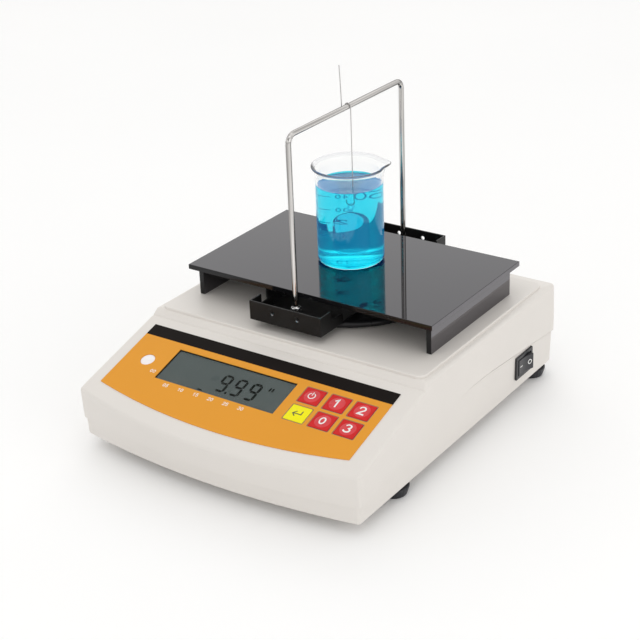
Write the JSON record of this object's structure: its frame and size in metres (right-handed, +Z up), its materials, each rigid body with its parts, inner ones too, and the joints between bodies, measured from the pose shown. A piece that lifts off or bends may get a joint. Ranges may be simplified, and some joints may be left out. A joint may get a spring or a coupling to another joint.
{
  "type": "benchtop density meter",
  "caption": "Benchtop liquid density meter: weighing casing with sloped key panel, acrylic bridge table with beaker, and a rod gantry that hangs a glass plummet in the sample.",
  "frame": {"origin": "middle of the footprint, on the bench under the levelling feet", "axes": "+Z up, +Y to the rear, +X to the operator's right with the switch"},
  "size_m": [0.1989, 0.2396, 0.2079],
  "materials": {
    "aluminium": "machined",
    "black_acrylic": "polished black acrylic sheet",
    "black_plastic": "black moulded plastic",
    "black_sheet": "satin black powder coat on bent sheet steel",
    "blue_liquid": "clear blue water-based sample",
    "board_green": "green lacquered circuit board",
    "brass": "turned brass",
    "clear_glass": "clear borosilicate glass",
    "connector_metal": "tinned connector shell",
    "cream_plastic": "fine-textured moulded ABS, off-white",
    "flat_cable": "grey flat cable",
    "foot_rubber": "black rubber-faced levelling foot",
    "key_red": "embossed red film key",
    "key_yellow": "embossed yellow film key",
    "lcd_grey": "reflective display glass, grey-green",
    "overlay_film": "printed satin polyester film, orange with a black top band",
    "parts_dark": "moulded component bodies",
    "steel": "bright drawn stainless",
    "vial_clear": "clear vial lens",
    "vial_white": "white vial body",
    "window_clear": "clear polycarbonate",
    "zinc_screws": "bright zinc plated"
  },
  "bodies": {
    "casing": {"base_tray": "cream_plastic", "top_cover": "cream_plastic", "casing_screws": "zinc_screws", "foot_inserts": "brass", "panel_overlay": "overlay_film", "display_window": "window_clear", "display_glass": "lcd_grey", "display_frame": "black_plastic", "display_board": "board_green", "key_board": "board_green", "key_switches": "parts_dark", "level_vial": "vial_white", "level_lens": "vial_clear", "main_board": "board_green", "board_parts": "parts_dark", "board_screws": "zinc_screws", "ribbon_cable": "flat_cable", "load_cell_block": "aluminium", "load_cell": "aluminium", "load_cell_screws": "zinc_screws", "overload_stop": "zinc_screws", "switch_housing": "black_plastic", "switch_terminals": "brass", "rear_plate": "black_plastic", "rear_plate_screws": "zinc_screws", "power_inlet": "black_plastic", "inlet_nut": "zinc_screws", "serial_port": "connector_metal", "serial_standoffs": "zinc_screws"},
    "foot_front_left": {"foot_front_left": "foot_rubber"},
    "foot_front_right": {"foot_front_right": "foot_rubber"},
    "foot_rear_left": {"foot_rear_left": "foot_rubber"},
    "foot_rear_right": {"foot_rear_right": "foot_rubber"},
    "key_power": {"key_power": "key_red"},
    "key_1": {"key_1": "key_red"},
    "key_2": {"key_2": "key_red"},
    "key_enter": {"key_enter": "key_yellow"},
    "key_zero": {"key_zero": "key_red"},
    "key_3": {"key_3": "key_red"},
    "rocker": {"switch_rocker": "black_plastic"},
    "carrier": {"cell_bracket": "aluminium", "bracket_screws": "zinc_screws", "pan_post": "steel"},
    "pan": {"weighing_pan": "black_sheet", "cradle": "black_sheet", "cradle_screws": "zinc_screws", "gantry_rod": "steel", "gantry_nuts": "zinc_screws", "gantry_lock_nuts": "zinc_screws"},
    "bridge": {"bridge_top": "black_acrylic", "bridge_leg_left": "black_acrylic", "bridge_leg_right": "black_acrylic"},
    "beaker": {"beaker": "clear_glass", "sample_liquid": "blue_liquid"},
    "hook": {"hook_wire": "steel"},
    "plummet": {"plummet": "clear_glass"}
  },
  "joints": [
    {"name": "foot_front_left_screw", "type": "slide", "parent": "casing", "child": "foot_front_left", "axis": [0, 0, 1], "range_m": [-0.003, 0.001]},
    {"name": "foot_front_right_screw", "type": "slide", "parent": "casing", "child": "foot_front_right", "axis": [0, 0, 1], "range_m": [-0.003, 0.001]},
    {"name": "foot_rear_left_screw", "type": "slide", "parent": "casing", "child": "foot_rear_left", "axis": [0, 0, 1], "range_m": [-0.003, 0.001]},
    {"name": "foot_rear_right_screw", "type": "slide", "parent": "casing", "child": "foot_rear_right", "axis": [0, 0, 1], "range_m": [-0.003, 0.001]},
    {"name": "key_power_press", "type": "slide", "parent": "casing", "child": "key_power", "axis": [0, 0.2756, -0.9613], "range_m": [0, 0.0005], "stiffness_N_per_m": 1500, "springref_m": -0.0003},
    {"name": "key_1_press", "type": "slide", "parent": "casing", "child": "key_1", "axis": [0, 0.2756, -0.9613], "range_m": [0, 0.0005], "stiffness_N_per_m": 1500, "springref_m": -0.0003},
    {"name": "key_2_press", "type": "slide", "parent": "casing", "child": "key_2", "axis": [0, 0.2756, -0.9613], "range_m": [0, 0.0005], "stiffness_N_per_m": 1500, "springref_m": -0.0003},
    {"name": "key_enter_press", "type": "slide", "parent": "casing", "child": "key_enter", "axis": [0, 0.2756, -0.9613], "range_m": [0, 0.0005], "stiffness_N_per_m": 1500, "springref_m": -0.0003},
    {"name": "key_zero_press", "type": "slide", "parent": "casing", "child": "key_zero", "axis": [0, 0.2756, -0.9613], "range_m": [0, 0.0005], "stiffness_N_per_m": 1500, "springref_m": -0.0003},
    {"name": "key_3_press", "type": "slide", "parent": "casing", "child": "key_3", "axis": [0, 0.2756, -0.9613], "range_m": [0, 0.0005], "stiffness_N_per_m": 1500, "springref_m": -0.0003},
    {"name": "switch_rock", "type": "hinge", "parent": "casing", "child": "rocker", "pos_m": [0.0942, 0.0775, 0.0232], "axis": [0, 0, 1], "range_deg": [0, 18]},
    {"name": "load_travel", "type": "slide", "parent": "casing", "child": "carrier", "axis": [0, 0, 1], "range_m": [-0.0003, 0], "stiffness_N_per_m": 20000, "springref_m": 0.0003, "deforming": ["load_cell"]},
    {"name": "pan_lift", "type": "slide", "parent": "carrier", "child": "pan", "axis": [0, 0, 1], "range_m": [0, 0.005]},
    {"name": "bridge_lift", "type": "slide", "parent": "casing", "child": "bridge", "axis": [0, 0, 1], "range_m": [0, 0.0035]},
    {"name": "beaker_lift", "type": "slide", "parent": "bridge", "child": "beaker", "axis": [0, 0, 1], "range_m": [0, 0.0045]},
    {"name": "hook_lift", "type": "slide", "parent": "pan", "child": "hook", "axis": [0, 0, 1], "range_m": [0, 0.05], "deforming": ["sample_liquid"]},
    {"name": "plummet_swing", "type": "hinge", "parent": "hook", "child": "plummet", "pos_m": [-0.00238, 0.0406, 0.1233], "axis": [0, 1, 0], "range_deg": [-6, 6]}
  ]
}
